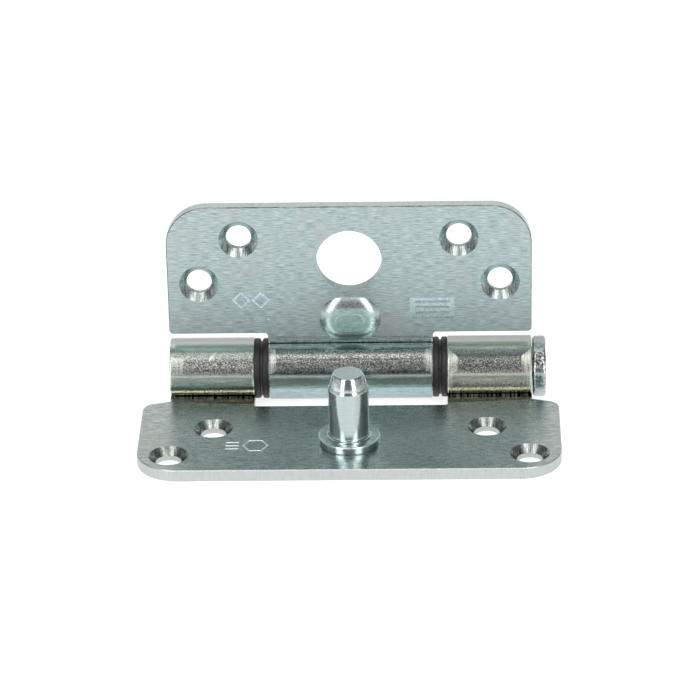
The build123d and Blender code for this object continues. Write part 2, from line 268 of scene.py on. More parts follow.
finishes = {
    # cold-rolled sheet, brushed along the pin: dashes a few millimetres long
    "brushedZincDoor": {"dark": "#869A9C", "light": "#C6D2D4", "stain": "#B5B5AF", "stainShare": 0.4,
                        "streak": (2.6, 0.22, 0.22), "patch": 13.0, "grain": 0.5,
                        "roughness": (0.30, 0.42), "lineDepth": 0.012, "grainDepth": 0.001,
                        "brushed": 0.4},
    "brushedZincFrame": {"dark": "#8A9C9D", "light": "#CFD9D7", "stain": "#BDBFB6", "stainShare": 0.4,
                         "streak": (1.6, 0.26, 0.26), "patch": 11.0, "grain": 0.45,
                         "roughness": (0.24, 0.36), "lineDepth": 0.02, "grainDepth": 0.006,
                         "brushed": 0.4},
    # sheared steel: pale, with fine lines through the thickness
    "shearedZincFrame": {"dark": "#B3B9B7", "light": "#BEC3C1", "stain": "#BDBFB9", "stainShare": 0.6,
                         "streak": (0.5, 0.5, 3.0), "patch": 5.0, "grain": 0.4,
                         "roughness": (0.34, 0.5), "lineDepth": 0.002, "grainDepth": 0.003},
    "shearedZincDoor": {"dark": "#C5D3D5", "light": "#D4DFE0", "stain": "#B9BEBB", "stainShare": 0.5,
                        "streak": (0.6, 3.0, 0.6), "patch": 5.0, "grain": 0.4,
                        "roughness": (0.34, 0.5), "lineDepth": 0.002, "grainDepth": 0.003},
    # the burr along a sheared edge: dark grey, darker in patches; on the teeth where each roll closes on
    # its leaf, the dark is partly painted shade of the slot there
    "burredEdge": {"dark": "#5B5753", "light": "#9C9C98", "stain": "#433F3B", "stainShare": 0.8,
                   "streak": (1.6, 0.8, 0.8), "patch": 2.2, "grain": 0.3,
                   "roughness": (0.35, 0.6), "lineDepth": 0.02, "grainDepth": 0.01},
    # countersinks, dulled by the plating bath and scored down their slope
    "turnedCountersinkFrame": {"dark": "#50544F", "light": "#A9AFAB", "stain": "#6C6A62",
                               "stainShare": 0.4, "streak": (0.24, 3.0, 3.0), "patch": 2.4, "grain": 0.3,
                               "roughness": (0.22, 0.36), "lineDepth": 0.012, "grainDepth": 0.004},
    # on the door leaf this darker finish goes only on the lower, upward-facing slope: painted shade
    "scoredCountersinkDoorPaintedShade": {"dark": "#5C6462", "light": "#B8C2C1", "stain": "#7E8380",
                              "stainShare": 0.4, "streak": (0.3, 3.0, 3.0), "patch": 2.4, "grain": 0.3,
                              "roughness": (0.22, 0.36), "lineDepth": 0.016, "grainDepth": 0.006},
    # the stud's hole, pierced by a punch: scored through the sheet
    "piercedZincHole": {"dark": "#94A9A8", "light": "#AFC0BE", "stain": "#A9B2A8", "stainShare": 0.5,
                        "streak": (0.6, 3.0, 0.6), "patch": 5.0, "grain": 0.4,
                        "roughness": (0.38, 0.5), "lineDepth": 0.004, "grainDepth": 0.003},
    # the upper slope of the door leaf's screw holes: painted paler and tealer than the lower slope, a
    # painted reflection
    "countersinkUpperSlopePaintedReflection": {"dark": "#849FA1", "light": "#A8BFBF", "stain": "#9DB0AF", "stainShare": 0.3,
                            "streak": (2.0, 2.0, 2.0), "patch": 4.0, "grain": 0.4,
                            "roughness": (0.2, 0.3), "lineDepth": 0.003, "grainDepth": 0.002},
    # pressed pad, polished by the punch
    "pressedZincPad": {"dark": "#98A8A5", "light": "#B2BFBC", "stain": "#A3AFAB", "stainShare": 0.3,
                       "streak": (0.5, 0.4, 0.4), "patch": 5.0, "grain": 0.32,
                       "roughness": (0.22, 0.32), "lineDepth": 0.006, "grainDepth": 0.01},
    # its flat crown, rubbed by the die, and its downward-facing foot, painted darker as shade under the
    # pad
    "crownedZincPad": {"dark": "#8CA6A2", "light": "#B2C8C4", "stain": "#9BB3AF", "stainShare": 0.3,
                       "streak": (1.2, 0.3, 0.3), "patch": 5.0, "grain": 0.32,
                       "roughness": (0.44, 0.54), "lineDepth": 0.012, "grainDepth": 0.012},
    "padFootPaintedShade": {"dark": "#6F7F7C", "light": "#8C9B98", "stain": "#7C8B87", "stainShare": 0.3,
                      "streak": (1.2, 0.4, 0.4), "patch": 5.0, "grain": 0.32,
                      "roughness": (0.3, 0.42), "lineDepth": 0.004, "grainDepth": 0.004},
    # stamped marks: the die leaves a smooth floor
    "stampedZincMark": {"dark": "#A3BBBE", "light": "#CADBDC", "stain": "#BCCACA", "stainShare": 0.3,
                        "streak": (0.5, 0.5, 0.5), "patch": 3.0, "grain": 0.3,
                        "roughness": (0.2, 0.3), "lineDepth": 0.004, "grainDepth": 0.003},
    # the stud's collar, barrelled with the rivet's end
    "barrelledZincCollar": {"dark": "#B4C2C0", "light": "#D0DAD8", "stain": "#B4B9AC", "stainShare": 0.4,
                            "streak": (0.8, 0.8, 0.4), "patch": 2.5, "grain": 0.4,
                            "roughness": (0.24, 0.38), "lineDepth": 0.004, "grainDepth": 0.008},
    # the stud's end, dulled and pitted by the shot
    "shotBlastedTip": {"dark": "#BCC9CB", "light": "#DAE4E4", "stain": "#C2CBC9", "stainShare": 0.3,
                       "streak": (0.5, 0.5, 0.5), "patch": 2.0, "grain": 0.3,
                       "roughness": (0.42, 0.55), "lineDepth": 0.004, "grainDepth": 0.012},
    # deep marks on the frame leaf: the punch leaves their floor rough and pale
    "punchedZincMark": {"dark": "#DCE7E7", "light": "#FFFFFF", "stain": "#E6EEEC", "stainShare": 0.3,
                        "streak": (0.5, 0.5, 0.5), "patch": 3.0, "grain": 0.3,
                        "roughness": (0.46, 0.6), "lineDepth": 0.004, "grainDepth": 0.003},
    # ground bearing races and polished balls: clean bright steel
    "groundSteelRace": {"dark": "#C2C5C7", "light": "#D3D6D8", "stain": "#C7C9CA", "stainShare": 0.2,
                        "streak": (0.2, 2.0, 2.0), "patch": 3.0, "grain": 0.3,
                        "roughness": (0.14, 0.22), "lineDepth": 0.001, "grainDepth": 0.001},
    "polishedSteelBall": {"dark": "#D0D3D5", "light": "#DDDFE0", "stain": "#C6C8C8", "stainShare": 0.2,
                          "streak": (0.4, 0.4, 0.4), "patch": 1.0, "grain": 0.3,
                          "roughness": (0.04, 0.09), "lineDepth": 0.0003, "grainDepth": 0.0003},
}
metals = {name: platedSteel(name, spec) for name, spec in finishes.items()}


scratchSize = (0.3, 6.0, 6.0)    # mm, across a scuff's scratches and along them


# plated steel coloured by angle round an axis. The bands were tuned for this
# studio and camera: they hold reflections as well as worn skin, so in other light they
# stay where they are. Pale scuffs lie over them.
def bandedSteelPaintedReflections(name, spec):
    made, tree = newMaterial(name)
    place = addNode(tree, "ShaderNodeTexCoord").outputs["Object"]
    local = addNode(tree, "ShaderNodeMapping", Vector=place, Scale=(1 / mm, 1 / mm, 1 / mm),
                    Location=[-part / mm for part in spec["centre"]])
    part = addNode(tree, "ShaderNodeSeparateXYZ", i0=local.outputs[0])
    front = addNode(tree, "ShaderNodeMath", {"operation": "MULTIPLY"}, i0=part.outputs[1], i1=-1.0)
    upright = part.outputs[0] if spec["upright"] else part.outputs[2]
    turn = addNode(tree, "ShaderNodeMath", {"operation": "ARCTAN2"}, i0=upright, i1=front.outputs[0])
    long, fine = spec["streak"]
    streakSize = (1 / fine, 1 / fine, 1 / long) if spec["upright"] else (1 / long, 1 / fine, 1 / fine)
    drawn = addNode(tree, "ShaderNodeMapping", Vector=local.outputs[0], Scale=streakSize)
    streak = addNode(tree, "ShaderNodeTexNoise", Vector=drawn.outputs[0], Scale=1.0, Detail=3.0,
                     Roughness=0.62)
    waver = addNode(tree, "ShaderNodeMapRange", Value=streak.outputs[0],
                    From_Min=0.3, From_Max=0.7, To_Min=-spec["waver"], To_Max=spec["waver"])
    plain = addNode(tree, "ShaderNodeMath", {"operation": "MULTIPLY"}, i0=turn.outputs[0], i1=180 / pi)
    angle = addNode(tree, "ShaderNodeMath", {"operation": "ADD"}, i0=plain.outputs[0], i1=waver.outputs[0])
    first, last = spec["bands"][0][0], spec["bands"][-1][0]
    share = addNode(tree, "ShaderNodeMapRange", Value=angle.outputs[0], From_Min=first, From_Max=last)
    bands = addNode(tree, "ShaderNodeValToRGB", i0=share.outputs[0])
    for number, (at, colour, grit) in enumerate(spec["bands"]):
        spot = (at - first) / (last - first)
        stop = bands.color_ramp.elements[number] if number < 2 else bands.color_ramp.elements.new(spot)
        stop.position = spot
        stop.color = toLinear(colour)[:3] + (grit,)
    speckle = addNode(tree, "ShaderNodeTexNoise", Vector=local.outputs[0],
                      Scale=1 / spec["speckle"], Detail=1.0, Roughness=0.5)
    grit = addNode(tree, "ShaderNodeMapRange", Value=speckle.outputs[0],
                   From_Min=0.38, From_Max=0.62, To_Min=-1.0, To_Max=1.0)
    graded = addNode(tree, "ShaderNodeMath", {"operation": "MULTIPLY_ADD"},
                     i0=grit.outputs[0], i1=bands.outputs[1], i2=1.0)
    lit = addNode(tree, "ShaderNodeMapRange", Value=streak.outputs[0],
                  From_Min=0.34, From_Max=0.66, To_Min=spec["tone"], To_Max=1.0)
    tone = addNode(tree, "ShaderNodeMath", {"operation": "MULTIPLY"}, i0=lit.outputs[0],
                   i1=graded.outputs[0])
    colour = addNode(tree, "ShaderNodeMix", {"data_type": "RGBA", "blend_type": "MULTIPLY"},
                     i0=1.0, i6=bands.outputs[0], i7=tone.outputs[0]).outputs[2]
    low, high = spec["roughness"]
    rough = addNode(tree, "ShaderNodeMapRange", Value=speckle.outputs[0],
                    From_Min=0.3, From_Max=0.7, To_Min=low, To_Max=high).outputs[0]
    if "scuffs" in spec:
        # scuffs: drawn round the roll, as wide at each angle as the outline says
        scuffs = spec["scuffs"]
        ringed = addNode(tree, "ShaderNodeMapping", Vector=local.outputs[0],
                         Scale=[1 / size for size in scratchSize])
        scratch = addNode(tree, "ShaderNodeTexNoise", Vector=ringed.outputs[0],
                          Scale=1.0, Detail=2.0, Roughness=0.6)
        away = addNode(tree, "ShaderNodeMath", {"operation": "SUBTRACT"}, i0=part.outputs[0],
                       i1=scuffs["middle"])
        off = addNode(tree, "ShaderNodeMath", {"operation": "ABSOLUTE"}, i0=away.outputs[0])
        inward = addNode(tree, "ShaderNodeMath", {"operation": "SUBTRACT"}, i0=scuffs["half"],
                         i1=off.outputs[0])
        outline = addNode(tree, "ShaderNodeValToRGB", i0=share.outputs[0])
        for number, (at, width) in enumerate(scuffs["outline"]):
            spot = (at - first) / (last - first)
            given = outline.color_ramp.elements
            stop = given[number] if number < 2 else given.new(spot)
            stop.position = spot
            stop.color = (width, width, width, 1.0)
        edge = addNode(tree, "ShaderNodeMath", {"operation": "MULTIPLY"},
                       i0=outline.outputs[0], i1=scuffs["width"])
        spare = addNode(tree, "ShaderNodeMath", {"operation": "SUBTRACT"}, i0=edge.outputs[0],
                        i1=inward.outputs[0])
        ragged = addNode(tree, "ShaderNodeMath", {"operation": "MULTIPLY_ADD"},
                         i0=scratch.outputs[0], i1=scuffs["ragged"], i2=spare.outputs[0])
        scuffed = addNode(tree, "ShaderNodeMapRange", {"interpolation_type": "SMOOTHSTEP"},
                          Value=ragged.outputs[0],
                          From_Min=scuffs["ragged"] / 2 - 0.15, From_Max=scuffs["ragged"] / 2 + 0.25,
                          To_Max=scuffs["strength"])
        worn = addNode(tree, "ShaderNodeMapRange", Value=scratch.outputs[0],
                       From_Min=0.4, From_Max=0.62, To_Min=0.45, To_Max=1.0)
        scuffed = addNode(tree, "ShaderNodeMath", {"operation": "MULTIPLY"},
                          i0=scuffed.outputs[0], i1=worn.outputs[0]).outputs[0]
        for x, at, halfLong, halfTurn, lean in scuffs["nicks"]:
            # a nick: a small pale ellipse, leaning along the roll
            along = addNode(tree, "ShaderNodeMath", {"operation": "SUBTRACT"}, i0=part.outputs[0], i1=x)
            around = addNode(tree, "ShaderNodeMath", {"operation": "SUBTRACT"}, i0=plain.outputs[0], i1=at)
            leant = addNode(tree, "ShaderNodeMath", {"operation": "MULTIPLY_ADD"},
                            i0=around.outputs[0], i1=-lean, i2=along.outputs[0])
            wide = addNode(tree, "ShaderNodeMath", {"operation": "DIVIDE"}, i0=leant.outputs[0],
                           i1=halfLong)
            tall = addNode(tree, "ShaderNodeMath", {"operation": "DIVIDE"}, i0=around.outputs[0],
                           i1=halfTurn)
            spread = addNode(tree, "ShaderNodeCombineXYZ", X=wide.outputs[0], Y=tall.outputs[0])
            size = addNode(tree, "ShaderNodeVectorMath", {"operation": "LENGTH"}, i0=spread.outputs[0])
            nick = addNode(tree, "ShaderNodeMapRange", Value=size.outputs["Value"],
                           From_Min=0.8, From_Max=1.1, To_Min=1.0, To_Max=0.0)
            scuffed = addNode(tree, "ShaderNodeMath", {"operation": "MAXIMUM"}, i0=scuffed,
                              i1=nick.outputs[0]).outputs[0]
        colour = addNode(tree, "ShaderNodeMix", {"data_type": "RGBA"}, i0=scuffed, i6=colour,
                         i7=toLinear(scuffs["colour"])).outputs[2]
        rough = addNode(tree, "ShaderNodeMapRange", Value=scuffed, To_Min=rough,
                        To_Max=scuffs["roughness"]).outputs[0]
    lines = addNode(tree, "ShaderNodeBump", Strength=1.0,
                    Distance=spec["lineDepth"] * mm, Height=streak.outputs[0])
    pits = addNode(tree, "ShaderNodeBump", Strength=1.0, Distance=spec["gritDepth"] * mm,
                   Height=speckle.outputs[0], Normal=lines.outputs[0])
    shader = addNode(tree, "ShaderNodeBsdfPrincipled", Base_Color=colour, Metallic=1.0,
                     Roughness=rough, Normal=pits.outputs[0])
    finishMaterial(tree, shader)
    return made


# bands run from below the front, through the top, to the back: angle, tint, grit. On a
# flat end face they meet at the axis in wedges.
# the tints hold painted reflections and painted shade as well as the steel's own colour
paintedReflectionBands = {
    # rolled round a mandrel, the left knuckle: its bands hold painted reflections, teal above with a
    # painted highlight, grainy in the middle, and painted shade, near black, low at the front where the
    # roll meets the leaf
    "rolledZincLeftPaintedReflections": {
        "centre": pinCentre, "upright": False, "streak": (3.0, 0.35), "waver": 1.2, "speckle": 0.3,
        "tone": 0.86, "roughness": (0.17, 0.27), "lineDepth": 0.006, "gritDepth": 0.006,
        "bands": [
            (-100, "#BCC0BC", 0.08), (-75, "#383A34", 0.5), (-33, "#383A34", 0.6),
            (-31.5, "#D2D6C2", 0.5), (-28, "#C6C8B6", 0.5),
            (-25.5, "#6A6C60", 0.6), (-23, "#F2F4E4", 0.3), (-20, "#F2F4E4", 0.3),
            (-18, "#75786A", 0.5), (-14, "#4C534C", 0.6),
            (-9, "#949F99", 0.3), (-5, "#CBD6CE", 0.16), (0, "#E6F1E8", 0.08), (5, "#EAF1E9", 0.06),
            (9, "#AAB3AC", 0.05), (15.5, "#BFC8C1", 0.08), (17.5, "#B9C1B9", 0.5), (24, "#CFD4CB", 0.55),
            (30, "#E2E5DC", 0.55), (37, "#B0B5AF", 0.6), (42, "#969B96", 0.5), (46, "#A6AAA5", 0.36),
            (51, "#CFD3CB", 0.3), (55, "#E6EAE2", 0.3), (58, "#BDC5BD", 0.18), (62, "#ADC0B8", 0.06),
            (67, "#DDF2EA", 0.05), (76, "#FFFFFF", 0.04), (81, "#CBD4D1", 0.05), (87, "#BDC9C8", 0.04),
            (95, "#B3BDBE", 0.04), (125, "#BCC0BC", 0.08),
        ],
        "scuffs": {
            "middle": -32.1, "half": 12.4, "width": 3.4, "ragged": 1.6, "strength": 0.85,
            "colour": "#CDD0C8", "roughness": 0.35,
            "outline": [(-60, 0), (-6, 0.0), (-3, 0.3), (15, 0.35), (17, 0.95), (44, 1.0), (46, 0.4),
                        (56, 0.06), (58, 0.0)],
            "nicks": [(-33.9, 49.5, 0.58, 8.5, 0.09), (-35.5, 55.0, 0.18, 2.6, 0.05),
                      (-32.6, 5.0, 1.8, 1.0, 0.0)],
        },
    },
    # the right knuckle: yellower, its bands holding painted reflections: a painted dark reflection above
    # the grain, painted highlights at the front and top, and painted shade, near black, low at the front
    # where the roll meets the leaf
    "rolledZincRightPaintedReflections": {
        "centre": pinCentre, "upright": False, "streak": (3.0, 0.35), "waver": 1.0, "speckle": 0.3,
        "tone": 0.86, "roughness": (0.17, 0.27), "lineDepth": 0.006, "gritDepth": 0.006,
        "bands": [
            (-100, "#B0B4AF", 0.08), (-75, "#1E201D", 0.5), (-33, "#1E201D", 0.6),
            (-31.5, "#D4D8C6", 0.5), (-28, "#BCBEAC", 0.4),
            (-25, "#A6A896", 0.4), (-22, "#D4D6C4", 0.2), (-18, "#FAFAEA", 0.1),
            (-14.5, "#A0A18C", 0.5), (-10, "#A0A494", 0.6),
            (-6, "#E0E2D0", 0.36), (-2, "#FFFFF0", 0.12), (4, "#FFFFF6", 0.06), (8, "#B4B9AE", 0.08),
            (13.5, "#C2C8C1", 0.1), (15, "#C2C8C1", 0.3), (20, "#BDC5C1", 0.5), (26, "#B4BAB7", 0.6),
            (32, "#B4B8B3", 0.6), (38, "#AFB2AC", 0.5), (42, "#828884", 0.5), (46, "#626765", 0.44),
            (50, "#747B79", 0.34), (55, "#9DA5A2", 0.24), (60, "#BAC1B9", 0.16), (66, "#EAEFE2", 0.07),
            (74, "#FFFFF4", 0.04), (79, "#C8D0C8", 0.04), (86, "#BFC6C3", 0.04), (96, "#B1BBBB", 0.04),
            (104, "#929A9A", 0.04), (125, "#B0B4AF", 0.08),
        ],
        "scuffs": {
            "middle": 34.125, "half": 10.375, "width": 2.7, "ragged": 1.2, "strength": 0.9,
            "colour": "#DEDFD4", "roughness": 0.37,
            "outline": [(-60, 0), (-20, 0.0), (-14, 0.35), (14, 0.45), (18, 0.85), (41, 0.95), (44, 1.0),
                        (60, 0.14), (66, 0.0)],
            "nicks": [],
        },
    },
    # the middle knuckle, rolled from the door leaf: its bands hold painted reflections, bright fuzzy lines
    # of painted highlight over grain darkened by painted dark reflections
    "rolledZincBarrelPaintedReflections": {
        "centre": pinCentre, "upright": False, "streak": (2.4, 0.22), "waver": 2.0, "speckle": 0.3,
        "tone": 0.7, "roughness": (0.14, 0.22), "lineDepth": 0.006, "gritDepth": 0.006,
        "bands": [
            (-60, "#96A5A5", 0.06), (-45, "#A2B5B6", 0.06), (-28, "#B0C4C7", 0.08), (-14, "#BED6D8", 0.08),
            (-7, "#D2ECE9", 0.08), (2, "#C8DAD6", 0.1), (7, "#BBCCC8", 0.1), (11, "#99A4A3", 0.14),
            (15, "#6C7573", 0.4), (18, "#848F8C", 0.7), (23, "#C0CBC7", 0.65), (30, "#CFDAD4", 0.65),
            (35, "#CDD6D0", 0.7), (38, "#F2F8F0", 0.6), (42, "#8A9390", 0.65), (46, "#D2DAD5", 0.6),
            (50, "#DAE1DC", 0.6), (55, "#98A29E", 0.65), (59, "#A8B4AF", 0.6), (62, "#6F7B77", 0.6),
            (66, "#B0C8C3", 0.15), (71, "#D2ECE6", 0.1), (79, "#F4FFFF", 0.3), (83, "#B9D8D2", 0.2),
            (90, "#C6EBE5", 0.06), (98, "#BFDCD7", 0.06), (104, "#98ADA9", 0.1), (125, "#AAB9B7", 0.1),
        ],
        "scuffs": {
            "middle": 0.0, "half": 20.25, "width": 2.0, "ragged": 0.8, "strength": 0.9,
            "colour": "#CDCFCA", "roughness": 0.36,
            "outline": [(-60, 0), (8, 0.0), (16, 0.2), (19, 1.0), (58, 1.0), (62, 0.9), (66, 0.0)],
            "nicks": [],
        },
    },
    # turned bar, bright plated: its bands round the shank hold painted reflections, paler to the
    # front-left and darker to the right; faint rings round the shank
    "turnedZincStudPaintedReflections": {
        "centre": (studCentre.x, studCentre.y, 0.0), "upright": True, "streak": (0.3, 6.0), "waver": 2.5,
        "speckle": 0.4, "tone": 0.9, "roughness": (0.12, 0.2), "lineDepth": 0.0006, "gritDepth": 0.003,
        "bands": [
            (-110, "#AAB3AE", 0.1), (-80, "#A4ADA4", 0.1), (-66, "#9AA4A3", 0.1), (-54, "#A3ADAE", 0.15),
            (-44, "#C8D2D2", 0.15), (-33, "#C9D2D2", 0.1), (-24, "#B9C5C5", 0.03), (-14, "#B6C2C2", 0.02),
            (0, "#BAC5C5", 0.02), (14, "#BAC5C4", 0.02), (24, "#B2BEBC", 0.03), (34, "#B0BAB9", 0.1),
            (45, "#929D9C", 0.2), (56, "#858F8E", 0.2), (66, "#9DA9A6", 0.15), (78, "#B2BEB8", 0.1),
            (110, "#AAB4AE", 0.1),
        ],
    },
    # upset and barrelled: bluish, mottled where it faces forward, with painted dark reflections just below
    # the front and above it, and a painted highlight towards the top
    "headedZincPinPaintedReflections": {
        "centre": pinCentre, "upright": False, "streak": (2.2, 0.9), "waver": 5.0, "speckle": 0.55,
        "tone": 0.8, "roughness": (0.18, 0.3), "lineDepth": 0.004, "gritDepth": 0.012,
        "bands": [
            (-60, "#B8C2C2", 0.1), (-20, "#B8C3C3", 0.1), (-10, "#98A29B", 0.25), (0, "#B9C1BC", 0.35),
            (10, "#B5C0C1", 0.15), (20, "#B2B8B6", 0.5), (30, "#B6BAB7", 0.65), (40, "#747A78", 0.7),
            (50, "#A8AAA8", 0.6), (58, "#F6F4F0", 0.3), (70, "#ECEAE8", 0.15), (80, "#C0C8CA", 0.06),
            (92, "#AAB8BD", 0.06), (102, "#A0B0B4", 0.06), (125, "#A2B2B8", 0.1),
        ],
    },
}
for name, spec in paintedReflectionBands.items():
    metals[name] = bandedSteelPaintedReflections(name, spec)


def paintFaces(nodeName, rules):
    # each face of a part takes the first finish whose test it meets
    mesh = nodes[nodeName].data
    names = []
    for name, test in rules:
        if name not in names:
            names.append(name)
    mesh.materials.clear()
    for name in names:
        mesh.materials.append(metals[name])
    for face in mesh.polygons:
        spot = (Vector(face.center) - pinCentre) / mm
        for name, test in rules:
            if test(spot, face.normal):
                face.material_index = names.index(name)
                break


layout = {
    "sheet": 3.0,
    "knuckleFront": -8.3,    # from the pin's middle
    "knuckleFoot": -2.9,     # from the frame leaf's face
    "barrelTop": 9.6,
    "frameScrews": ((43.3, 36.7), (33.2, 22.9)),
    "doorScrews": ((36.8, 24.0), (26.8, 35.9)),
    "screwReach": 4.95,
    "studReach": 30.0,
    "studHoleReach": 9.0,
    "padReach": 14.4,
    "padHalf": (8.5, 6.8),
    "padHollowHalf": (7.0, 5.0),
    "padCrown": 1.5,
    "frameMarks": ((-22.6, 32.0, 4.0), (-28.2, 32.0, 2.4)),
    "doorMarks": ((20.15, 17.15, 6.5), (-26.6, 19.6, 2.6), (-21.8, 19.6, 2.6), (-24.2, 14.4, 4.8)),
}


facing = 0.9    # a face looks along an axis when its normal's share of it is above this


def nearScrew(places, x, reach):
    return any(hypot(abs(x) - atX, reach - atReach) < layout["screwReach"] for atX, atReach in places)


def nearMark(places, x, reach):
    return any(hypot(x - atX, reach - atReach) < size for atX, atReach, size in places)


def onRoll(p, n):
    # an outer knuckle's skin, and not the plate behind it
    return (p.y > layout["knuckleFront"] and p.z > faceZ + layout["knuckleFoot"]
            and abs(n.x) < facing)


def onPad(p):
    halfWide, halfTall = layout["padHalf"]
    return abs(p.x) < halfWide and abs(p.z - layout["padReach"]) < halfTall and p.y < faceY - 0.02


def inHollow(p):
    # the punch's hollow behind the pad
    halfWide, halfTall = layout["padHollowHalf"]
    return abs(p.x) < halfWide and abs(p.z - layout["padReach"]) < halfTall and -1.8 < p.y < 1.05


# the leaves' inner faces, from the pin's middle
faceZ = (frameLow.z - pinCentre.z) / mm + layout["sheet"]
faceY = -1.9
# the rolls' bands hold painted reflections, painted highlights and painted shade besides the steel's own
# colour
paintFaces("frame_leaf", [
    ("rolledZincLeftPaintedReflections", lambda p, n: p.x < 0 and onRoll(p, n)),
    ("rolledZincRightPaintedReflections", lambda p, n: onRoll(p, n)),
    ("shearedZincFrame", lambda p, n: p.y > layout["knuckleFront"] and abs(n.x) >= facing),
    ("turnedCountersinkFrame", lambda p, n: nearScrew(layout["frameScrews"], p.x, -p.y)
     and 0.2 < n.z < facing),
    ("punchedZincMark", lambda p, n: nearMark(layout["frameMarks"], p.x, -p.y)
     and faceZ - 0.3 < p.z < faceZ - 0.01),
    ("brushedZincFrame", lambda p, n: abs(n.z) > facing),
    ("shearedZincFrame", lambda p, n: True),
])
paintFaces("door_leaf", [
    ("crownedZincPad", lambda p, n: onPad(p) and p.y < faceY - layout["padCrown"]),
    # the pad's downward-facing foot: painted shade
    ("padFootPaintedShade", lambda p, n: onPad(p) and n.z < -0.3),
    ("pressedZincPad", lambda p, n: onPad(p)),
    ("pressedZincPad", lambda p, n: inHollow(p)),
    # the middle roll: bands of painted highlight and painted reflection
    ("rolledZincBarrelPaintedReflections", lambda p, n: p.z < layout["barrelTop"] and abs(n.x) < facing),
    # the door's screw holes split by facing: the lower slope takes painted shade, the upper slope a pale
    # painted reflection
    ("scoredCountersinkDoorPaintedShade", lambda p, n: nearScrew(layout["doorScrews"], p.x, p.z)
     and abs(n.y) < facing and n.z > 0.12),
    ("countersinkUpperSlopePaintedReflection", lambda p, n: nearScrew(layout["doorScrews"], p.x, p.z) and abs(n.y) < facing),
    ("piercedZincHole", lambda p, n: hypot(p.x, p.z - layout["studReach"]) < layout["studHoleReach"]
     and abs(n.y) < 0.3),
    ("stampedZincMark", lambda p, n: nearMark(layout["doorMarks"], p.x, p.z)
     and faceY + 0.01 < p.y < faceY + 0.3),
    ("brushedZincDoor", lambda p, n: abs(n.y) > facing),
    ("burredEdge", lambda p, n: 0.3 < abs(n.y) <= facing and p.z > layout["barrelTop"]),
    ("shearedZincDoor", lambda p, n: True),
])
print("leaves finished")


def seatMaterial(piece, *finished):
    piece.data.materials.clear()
    for made in finished:
        piece.data.materials.append(made)


def startEditing(piece):
    bpy.ops.object.select_all(action="DESELECT")
    piece.select_set(True)
    bpy.context.view_layer.objects.active = piece
    bpy.ops.object.mode_set(mode="EDIT")
    bpy.ops.mesh.select_mode(type="FACE")


def pick(piece, kind, test):
    # selects the faces or edges of a piece whose middle and direction meet a test
    bpy.ops.mesh.select_mode(type=kind)
    bpy.ops.mesh.select_all(action="DESELECT")
    shape = bmesh.from_edit_mesh(piece.data)
    found = 0
    if kind == "FACE":
        for face in shape.faces:
            face.select = test(face.calc_center_median() / mm, face.normal)
            found += face.select
    else:
        for edge in shape.edges:
            start, end = edge.verts[0].co / mm, edge.verts[1].co / mm
            edge.select = test(start, end)
            found += edge.select
    shape.select_flush_mode()
    bmesh.update_edit_mesh(piece.data)
    return found


def finishPiece(piece, angle=32):
    bpy.ops.mesh.select_mode(type="VERT")
    bpy.ops.mesh.select_all(action="SELECT")
    bpy.ops.mesh.remove_doubles(threshold=0.0005 * mm)
    bpy.ops.mesh.normals_make_consistent(inside=False)
    bpy.ops.object.mode_set(mode="OBJECT")
    bpy.ops.object.transform_apply(location=True, rotation=True, scale=True)
    bpy.ops.object.shade_smooth_by_angle(angle=radians(angle))


def turnPiece(name, centre, axis, stations, sides):
    # a disc drawn out station by station into a turned piece; stations are (along, radius) in mm
    along, radius = stations[0]
    turned = (0, radians(90), 0) if axis.x else (0, 0, 0)
    bpy.ops.object.select_all(action="DESELECT")
    bpy.ops.mesh.primitive_circle_add(vertices=sides, radius=radius * mm, fill_type="NGON",
                                      location=centre + axis * along * mm, rotation=turned)
    piece = bpy.context.object
    piece.name = name
    bpy.ops.object.transform_apply(location=True, rotation=True, scale=True)
    startEditing(piece)
    bpy.ops.mesh.select_all(action="SELECT")
    for nextAlong, nextRadius in stations[1:]:
        step = axis * (nextAlong - along) * mm
        bpy.ops.mesh.extrude_region_move(TRANSFORM_OT_translate={"value": step})
        if abs(nextRadius - radius) > 0.0001:
            share = nextRadius / radius
            bpy.ops.transform.resize(value=(share, share, share),
                                     center_override=centre + axis * nextAlong * mm)
        along, radius = nextAlong, nextRadius
    return piece


def fromAxis(point, centre, axis):
    # how far along and how far out a point lies, in mm
    away = point - centre / mm
    along = away.dot(axis)
    return along, (away - along * axis).length


def roundRings(piece, centre, axis, rings):
    # rounds the edge rings at (along, radius) by an amount
    for along, radius, amount, steps in rings:
        def onRing(start, end):
            places = [fromAxis(point, centre, axis) for point in (start, end)]
            return all(abs(at - along) < 0.02 and abs(out - radius) < 0.02 for at, out in places)
        if not pick(piece, "EDGE", onRing):
            raise ValueError(f"no ring at {along}, {radius} on {piece.name}")
        bpy.ops.mesh.bevel(offset=amount * mm, offset_type="OFFSET", segments=steps, profile=0.5)


hingePin = {
    "radius": 4.65,
    "headInside": 44.8,
    "headRadius": 7.5,
    "rim": 0.62,
    "sides": 96,
    "dishRadius": 5.2,       # the upsetting die leaves a shallow dish in the head
    "dishDepth": 0.22,
    "dishSlope": 0.3,
    "leadIn": 0.6,           # chamfer at the plain end
    "centreMark": ((0.0, 1.2), (0.25, 0.9), (0.5, 0.2)),     # depth below the dish, radius
}


